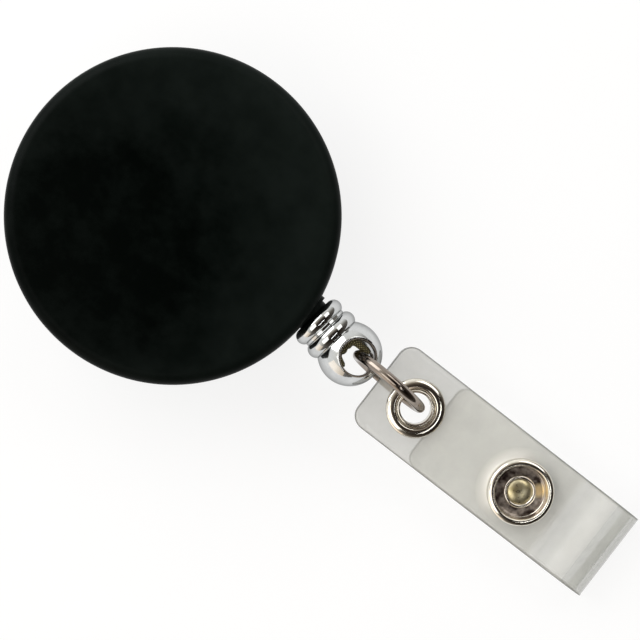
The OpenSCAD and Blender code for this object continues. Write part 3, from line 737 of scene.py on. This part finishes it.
# ---------------------------------------------------------------- ring
GAP = math.radians(0.7)
ring_points = []
for i in range(145):
    t = math.radians(250) + GAP / 2 + (2 * math.pi - GAP) * i / 144
    ring_points.append(AT_RING @ Vector((RING_R * math.cos(t), RING_R * math.sin(t), 0)))
place_piece(tube("wire_ring", ring_points, WIRE_R, RING_NICKEL_SHADED, 32), "ring", "nickel", "jump_ring")

# ---------------------------------------------------------------- strap
ramp_end = (FOLD_X - FOLD_R * math.sin(RAMP_A), FOLD_Z - FOLD_R * math.cos(RAMP_A))
crown_x = FOLD_X + FOLD_R * math.sin(CROWN_A) - CROWN_R * math.sin(CROWN_A)
ramp_cut = RAMP_R * math.tan(RAMP_A / 2)
knee_x = ramp_end[0] - (-LAYER_GAP - ramp_end[1]) / math.tan(RAMP_A)
ramp_len = (-LAYER_GAP - ramp_end[1]) / math.sin(RAMP_A) - ramp_cut
# each stretch: length, turn in radians (negative is to the right)
STRETCHES = [
    (EYELET_TO_END + crown_x, 0.0),
    (CROWN_R * CROWN_A, -CROWN_A),
    (FOLD_R * (math.pi - CROWN_A + RAMP_A), -(math.pi - CROWN_A + RAMP_A)),
    (ramp_len, 0.0),
    (RAMP_R * RAMP_A, RAMP_A),
    (knee_x - ramp_cut - FLAP_START, 0.0),
]
STRAP_LENGTH = sum(s for s, _ in STRETCHES)
FOLD_FROM = STRETCHES[0][0] + STRETCHES[1][0]
FOLD_TO = FOLD_FROM + STRETCHES[2][0]
FOLD_SHADE_X = 25.8
FOLD_TURN_X = 28.35
NEAR_ROUND, FLAP_ROUND = 1.7, 1.4
WAVE, WAVE_X, WAVE_SPREAD, WAVE_LENGTH = 0.03, 21.5, 3.0, 2.1
EDGE_LINE_R = 0.065


def strap_point(s, w, n=0.0):
    """The place of a point of the strap: s along it from the near end, w across, n off its middle."""
    x, z, h = -EYELET_TO_END, 0.0, 0.0
    for length, turn in STRETCHES:
        d = min(s, length)
        if turn:
            r = length / turn
            a = turn * d / length
            x += r * (math.sin(h + a) - math.sin(h))
            z += r * (math.cos(h) - math.cos(h + a))
            h += a
        else:
            x += d * math.cos(h)
            z += d * math.sin(h)
        s -= d
        if s <= 1e-9:
            break
    swell = WAVE * math.exp(-((x - WAVE_X) / WAVE_SPREAD) ** 2)
    n += swell * math.sin(2 * math.pi * (x + 0.06 * w) / WAVE_LENGTH)
    return AT_STRAP @ Vector((x - n * math.sin(h), w, z + n * math.cos(h)))


def strap_mesh():
    """Middle surface of the strap: rows across it, and a round patch about the eyelet hole."""
    bm = bmesh.new()
    half = STRAP_W / 2
    across = [half * (2 * j / 20 - 1) for j in range(21)]
    hole_s, patch, hole_r = EYELET_TO_END, 3.5, 2.24

    def row(s, limit):
        return [bm.verts.new(strap_point(s, w * limit / half)) for w in across]

    def limit_at(d, r):
        return half if d >= r else half - r + math.sqrt(max(0.0, r * r - (r - d) ** 2))
    near = [NEAR_ROUND * (1 - math.cos(math.pi / 2 * i / 8)) for i in range(9)]
    rows = [row(d, limit_at(d, NEAR_ROUND)) for d in near]
    edge_row = row(hole_s - patch, half)
    grid_faces(bm, rows + [edge_row], wrap_ring=False)

    far_row = row(hole_s + patch, half)
    rows = [far_row]
    s = hole_s + patch
    end = STRAP_LENGTH - FLAP_ROUND
    for mark, step in ((FOLD_FROM, 0.5), (FOLD_TO, 0.16), (end, 0.5)):
        count = math.ceil((mark - s) / step)
        rows += [row(s + (mark - s) * i / count, half) for i in range(1, count + 1)]
        s = mark
    for i in range(1, 9):
        d = FLAP_ROUND * math.cos(math.pi / 2 * i / 8)
        rows.append(row(STRAP_LENGTH - d, limit_at(d, FLAP_ROUND)))
    grid_faces(bm, rows, wrap_ring=False)

    sides = 12
    ring = list(edge_row)
    places = [(-patch, w) for w in across]
    for i in range(1, sides):
        s = -patch + 2 * patch * i / sides
        ring.append(bm.verts.new(strap_point(hole_s + s, half)))
        places.append((s, half))
    ring += list(reversed(far_row))
    places += [(patch, w) for w in reversed(across)]
    for i in range(1, sides):
        s = patch - 2 * patch * i / sides
        ring.append(bm.verts.new(strap_point(hole_s + s, -half)))
        places.append((s, -half))
    loops = [ring]
    for k in range(1, 6):
        t = k / 5
        loop = []
        for s, w in places:
            far = math.hypot(s, w)
            cs, cw = s / far * hole_r, w / far * hole_r
            loop.append(bm.verts.new(strap_point(hole_s + s + (cs - s) * t, w + (cw - w) * t)))
        loops.append(loop)
    grid_faces(bm, loops)
    obj = finish_mesh("vinyl_strap", bm, VINYL, 60)
    for extra in (VINYL_FOLD_SHADED, VINYL_UNDER, VINYL_TURN_SHADED):
        obj.data.materials.append(extra)
    to_strap = AT_STRAP.inverted()
    for face in obj.data.polygons:
        middle_of = to_strap @ (face.center / MM)
        # the fold's faces take the darker vinyl copies as painted shade; the lower layer takes the under
        # vinyl
        if middle_of.x > FOLD_TURN_X:
            face.material_index = 3
        elif middle_of.z < FOLD_Z:
            face.material_index = 2
        elif middle_of.x > FOLD_SHADE_X:
            face.material_index = 1
    solid = obj.modifiers.new("thickness", "SOLIDIFY")
    solid.thickness = STRAP_T * MM
    solid.offset = 0
    solid.use_even_offset = True
    graph = bpy.context.evaluated_depsgraph_get()
    final = bpy.data.meshes.new_from_object(obj.evaluated_get(graph))
    obj.modifiers.clear()
    obj.data = final
    return obj


def strap_zone(point):
    """Which stretch of the strap a point in millimetres is on: 0 upper layer, 1 fold, 2 flap."""
    p = AT_STRAP.inverted() @ point
    turned = math.degrees(math.atan2(p.x - FOLD_X, p.z - FOLD_Z)) % 360
    if math.degrees(CROWN_A) < turned < 180 + math.degrees(RAMP_A):
        return 1
    return 0 if p.z > -LAYER_GAP * 0.7 else 2


def split_strap(whole):
    """The strap as three pieces that meet along the two ends of its fold."""
    pieces = []
    for zone, name in enumerate(("vinyl_upper", "vinyl_fold", "vinyl_flap")):
        bm = bmesh.new()
        bm.from_mesh(whole.data)
        others = [f for f in bm.faces if strap_zone(f.calc_center_median() / MM) != zone]
        bmesh.ops.delete(bm, geom=others, context="FACES")
        mesh = bpy.data.meshes.new(name)
        bm.to_mesh(mesh)
        bm.free()
        for material in whole.data.materials:
            mesh.materials.append(material)
        piece = bpy.data.objects.new(name, mesh)
        bpy.context.scene.collection.objects.link(piece)
        pieces.append(piece)
    bpy.data.objects.remove(whole)
    return pieces


def bend_with_flap(piece):
    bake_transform(piece)


upper_layer, fold, lower_layer = split_strap(strap_mesh())
place_piece(upper_layer, "strap", "vinyl", "strap_upper")
place_piece(lower_layer, "flap", "vinyl", "strap_flap")
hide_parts("strap_fold")
bend_with_flap(fold)


def edge_line(name, body, s_from, s_to, corner, n):
    """A dark tube along the cut edge of one end of the strap, painting the shaded outline of the clear edge:
    from the fold along one side, round the end and back.
    """
    half = STRAP_W / 2
    sign = 1 if s_to > s_from else -1
    count = int(abs(s_to - s_from) / 0.25)
    side = [(s_from + (s_to - sign * corner - s_from) * i / count, half) for i in range(count + 1)]
    turn = [(s_to - sign * corner * (1 - math.sin(math.pi / 2 * i / 10)),
             half - corner * (1 - math.cos(math.pi / 2 * i / 10))) for i in range(1, 11)]
    end = [(s_to, (half - corner) * (1 - i / 12)) for i in range(1, 12)]
    one = side + turn + end
    path = one + [(s, -w) for s, w in reversed(one[:-1])]
    line = [strap_point(s, w, n) for s, w in path]
    place_piece(tube(name, line, EDGE_LINE_R, VINYL_EDGE_SHADE, 8), body, "vinyl")


for face_name, n in (("outer", HALF_T - 0.03), ("inner", 0.03 - HALF_T)):
    edge_line("vinyl_edge_upper_" + face_name, "strap", FOLD_FROM, 0.0, NEAR_ROUND, n)
    edge_line("vinyl_edge_under_" + face_name, "flap", FOLD_TO, STRAP_LENGTH, FLAP_ROUND, n)
    for side_name, w in (("left", STRAP_W / 2), ("right", -STRAP_W / 2)):
        bent = [strap_point(FOLD_FROM + (FOLD_TO - FOLD_FROM) * i / 40, w, n) for i in range(41)]
        bend_with_flap(tube(f"vinyl_edge_fold_{face_name}_{side_name}", bent, EDGE_LINE_R, VINYL_EDGE_SHADE, 8))

# ---------------------------------------------------------------- eyelet
BARREL_R0, BARREL_R1, EYELET_R = 1.82, 2.25, 3.5
barrel_foot = -HALF_T - 0.38
CREST_AT = 2.62
inner_roll = circle(2.02, HALF_T + 0.1, 0.2, 170, 20, 12)
crest = circle(CREST_AT, HALF_T + 0.12, 0.35, 168, 96, 8)
outer_slope = [(CREST_AT + 0.88 * math.sin(math.radians(a)),
                HALF_T + 0.02 + 0.45 * math.cos(math.radians(a)), 0) for a in range(5, 71, 5)]
eyelet = fillet(
    [(BARREL_R0, barrel_foot, 0.05), (BARREL_R0, HALF_T + 0.1, 0)] + inner_roll
    + [(2.24, HALF_T + 0.1, 0.04)] + crest + outer_slope
    + [(EYELET_R, HALF_T + 0.1, 0.05), (EYELET_R, HALF_T, 0), (BARREL_R1, HALF_T, 0),
       (BARREL_R1, barrel_foot, 0.05)], 5)
place_piece(lathe("eyelet_rim", eyelet, AT_STRAP, NICKEL_PAINTED_LIGHT, 96), "strap", "nickel", "eyelet_barrel")
WASHER_R, WASHER_T = 3.25, 0.3
washer = fillet([(2.27, -HALF_T - WASHER_T, 0.06), (WASHER_R, -HALF_T - WASHER_T, 0.12),
                 (WASHER_R, -HALF_T, 0.05), (2.27, -HALF_T, 0)], 4)
place_piece(lathe("eyelet_back", washer, AT_STRAP, NICKEL, 96), "strap", "nickel", "eyelet_washer")

# ---------------------------------------------------------------- snap
RIM_R, RIM_TOP = 0.45, 1.02
SNAP_R, CREST_R, WELL_R, RIM_IN_R = 3.95, 3.32, 3.06, 2.9
rim_rise = [(WELL_R + (CREST_R - WELL_R) * (1 - math.cos(math.radians(a))),
             HALF_T + RIM_TOP + RIM_R * math.sin(math.radians(a)), 0) for a in range(8, 91, 8)]
rim_fall = [(CREST_R + (SNAP_R - CREST_R) * math.sin(math.radians(a)),
             HALF_T + RIM_TOP + RIM_R * math.cos(math.radians(a)), 0) for a in range(6, 73, 6)]
rim = fillet(
    [(RIM_IN_R, HALF_T, 0.03), (RIM_IN_R, HALF_T + 0.27, 0.05), (3.02, HALF_T + 0.35, 0.15),
     (WELL_R, HALF_T + RIM_TOP - 0.1, 0.1)] + rim_rise + rim_fall
    + [(SNAP_R, HALF_T + 0.9, 0.05), (SNAP_R, HALF_T + 0.4, 0.2), (3.78, HALF_T, 0.06)], 5)
place_piece(lathe("snap_rim", rim, AT_SNAP, NICKEL_PAINTED_LIGHT, 128), "strap", "nickel", "snap_cap")

dish = fillet([(1.3, HALF_T + 0.02, 0), (3.0, HALF_T + 0.02, 0), (3.0, HALF_T + 0.33, 0.05),
               (2.7, HALF_T + 0.22, 0.2), (2.0, HALF_T + 0.25, 0.2), (1.3, HALF_T + 0.25, 0)], 6)
place_piece(lathe("snap_dish", dish, AT_SNAP, DISH, 96), "strap", "nickel")
inner_ring = [q[:2] for q in circle(1.70, HALF_T + 0.32, 0.25, 0, 345, 23)]
place_piece(lathe("snap_inner_ring", inner_ring, AT_SNAP, NICKEL, 96), "strap", "nickel")
DOME_R, DOME_H = 1.56, 0.5
dome = [(DOME_R * math.sin(math.radians(a)), HALF_T + 0.16 + DOME_H * math.cos(math.radians(a)), 0)
        for a in range(10, 91, 10)]
dome = fillet([(0, HALF_T + 0.16 + DOME_H, 0)] + dome + [(DOME_R, HALF_T, 0), (0, HALF_T, 0)],
              3, closed=False)
place_piece(lathe("snap_dome", dome, AT_SNAP, BRASS, 96), "strap", "nickel")

SOCKET_R, SOCKET_H, SOCKET_HOLE_R = 3.1, 0.95, 1.85
socket_z = -HALF_T
socket = fillet([(0, socket_z, 0), (3.0, socket_z, 0.05), (SOCKET_R, socket_z - 0.3, 0.12),
                 (SOCKET_R, socket_z - 0.7, 0.25), (2.7, socket_z - SOCKET_H, 0.2),
                 (SOCKET_HOLE_R, socket_z - SOCKET_H, 0.08), (SOCKET_HOLE_R, socket_z - 0.2, 0.05),
                 (0, socket_z - 0.2, 0)], 5, closed=False)
place_piece(lathe("snap_socket_shell", socket, AT_SNAP, NICKEL, 96), "strap", "nickel", "snap_socket")

STUD_R, STUD_NECK_R, STUD_FOOT_R = 1.4, 1.15, 3.1
stud_z = HALF_T - LAYER_GAP
stud = fillet([(0, stud_z + 0.85, 0), (STUD_R, stud_z + 0.85, 0.16), (STUD_R, stud_z + 0.6, 0.1),
               (STUD_NECK_R, stud_z + 0.45, 0.08), (STUD_NECK_R, stud_z + 0.25, 0.1),
               (STUD_FOOT_R, stud_z + 0.25, 0.1), (STUD_FOOT_R, stud_z, 0.05), (0, stud_z, 0)],
              5, closed=False)
place_piece(lathe("snap_button", stud, AT_SNAP, NICKEL, 96), "flap", "nickel", "snap_stud")

POST_R, FLANGE_R = 1.1, 4.15
under = -LAYER_GAP - HALF_T
flange = fillet([(0, under + STRAP_T, 0), (POST_R, under + STRAP_T, 0), (POST_R, under, 0.05),
                 (FLANGE_R, under, 0.03), (4.12, under - 0.36, 0.2), (3.4, under - 0.3, 0.15),
                 (1.6, under - 0.28, 0.1), (1.2, under - 0.12, 0.1), (0, under - 0.12, 0)], 5, closed=False)
place_piece(lathe("snap_backing", flange, AT_SNAP, NICKEL, 128), "flap", "nickel", "stud_post")

# ---------------------------------------------------------------- stage and light
floor_mesh = bpy.data.meshes.new("floor")
FLOOR_HALF = 3.0
corners = [(x * FLOOR_HALF, y * FLOOR_HALF, 0) for x, y in ((-1, -1), (1, -1), (1, 1), (-1, 1))]
floor_mesh.from_pydata(corners, [], [(0, 1, 2, 3)])
floor = bpy.data.objects.new("floor", floor_mesh)
bpy.context.scene.collection.objects.link(floor)
floor.location.z = -0.00005
paper = Paint("white_paper", (0.2, 0.2, 0.2), 0.9)
paper.mix(paper.noise(30, 3), (0.19, 0.19, 0.19), (0.21, 0.21, 0.21))
paper.bsdf.inputs["Specular IOR Level"].default_value = 0.1
paper.bsdf.inputs["Emission Color"].default_value = (1, 1, 1, 1)
paper.bsdf.inputs["Emission Strength"].default_value = 0.82
floor_mesh.materials.append(paper.mat)
floor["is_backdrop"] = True

world = bpy.data.worlds.new("studio")
bpy.context.scene.world = world
world.use_nodes = True
sky = world.node_tree
direction = sky.nodes.new("ShaderNodeTexCoord").outputs["Generated"]


def sky_ramp(along, tones):
    """Tones over the share of the sky's direction that points along a vector, from -1 to 1."""
    part = sky.nodes.new("ShaderNodeVectorMath")
    part.operation = "DOT_PRODUCT"
    part.inputs[1].default_value = Vector(along).normalized()
    sky.links.new(direction, part.inputs[0])
    spread = sky.nodes.new("ShaderNodeMapRange")
    spread.inputs["From Min"].default_value = -1.0
    sky.links.new(part.outputs["Value"], spread.inputs["Value"])
    ramp = sky.nodes.new("ShaderNodeValToRGB")
    sky.links.new(spread.outputs["Result"], ramp.inputs["Fac"])
    stops = ramp.color_ramp.elements
    for i, (at, tone) in enumerate(tones):
        stop = stops[i] if i < 2 else stops.new((at + 1) / 2)
        stop.position, stop.color = (at + 1) / 2, (*tone, 1)
    return ramp.outputs["Color"]


overhead = sky_ramp((0.40, 0.0, 0.92), ((0.0, (0.97, 0.97, 0.95)), (0.98, (0.060, 0.046, 0.038)),
                                      (0.52, (0.82, 0.80, 0.75)), (0.74, (0.34, 0.305, 0.26)),
                                      (0.88, (0.115, 0.092, 0.073))))
sideways = sky_ramp((1, 0.10, 0), ((-0.25, (1.0, 1.0, 1.0)), (0.75, (0.10, 0.09, 0.085)),
                                 (0.05, (0.62, 0.61, 0.60)), (0.35, (0.22, 0.205, 0.19))))
blend = sky.nodes.new("ShaderNodeMix")
blend.data_type = "RGBA"
blend.blend_type = "MULTIPLY"
blend.inputs[0].default_value = 1.0
sky.links.new(overhead, blend.inputs[6])
sky.links.new(sideways, blend.inputs[7])
sky.links.new(blend.outputs[2], sky.nodes["Background"].inputs["Color"])
sky.nodes["Background"].inputs["Strength"].default_value = 1.0


def softbox(name, azimuth, elevation, away, size, radiance, colour=(1, 1, 1)):
    """An area light of a given radiance, aimed at the object from azimuth and elevation in degrees."""
    light = bpy.data.lights.new(name, "AREA")
    light.shape = "RECTANGLE"
    light.size, light.size_y = size
    light.energy = radiance * math.pi * size[0] * size[1]
    light.color = colour
    obj = bpy.data.objects.new(name, light)
    bpy.context.scene.collection.objects.link(obj)
    a, e = math.radians(azimuth), math.radians(elevation)
    aim = Vector((0.025, 0, 0.007))
    toward = Vector((math.cos(e) * math.cos(a), math.cos(e) * math.sin(a), math.sin(e)))
    obj.location = aim + away * toward
    obj.rotation_euler = (aim - obj.location).to_track_quat("-Z", "Y").to_euler()
    return obj


softbox("key_box", 176, 32, 0.55, (0.50, 0.36), 2.8)
softbox("low_box", -104, 58, 0.55, (0.40, 0.28), 1.8, (1.0, 0.98, 0.94))
softbox("back_box", 82, 46, 0.6, (0.40, 0.24), 1.8, (1.0, 0.99, 0.97))
softbox("strip_box", 2, 59, 0.6, (0.34, 0.05), 3.5)
softbox("warm_card", -94, 12, 0.5, (0.46, 0.32), 0.52, (1.0, 0.76, 0.52))

bpy.context.scene.view_settings.view_transform = "Standard"
bpy.context.view_layer.update()
low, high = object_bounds()
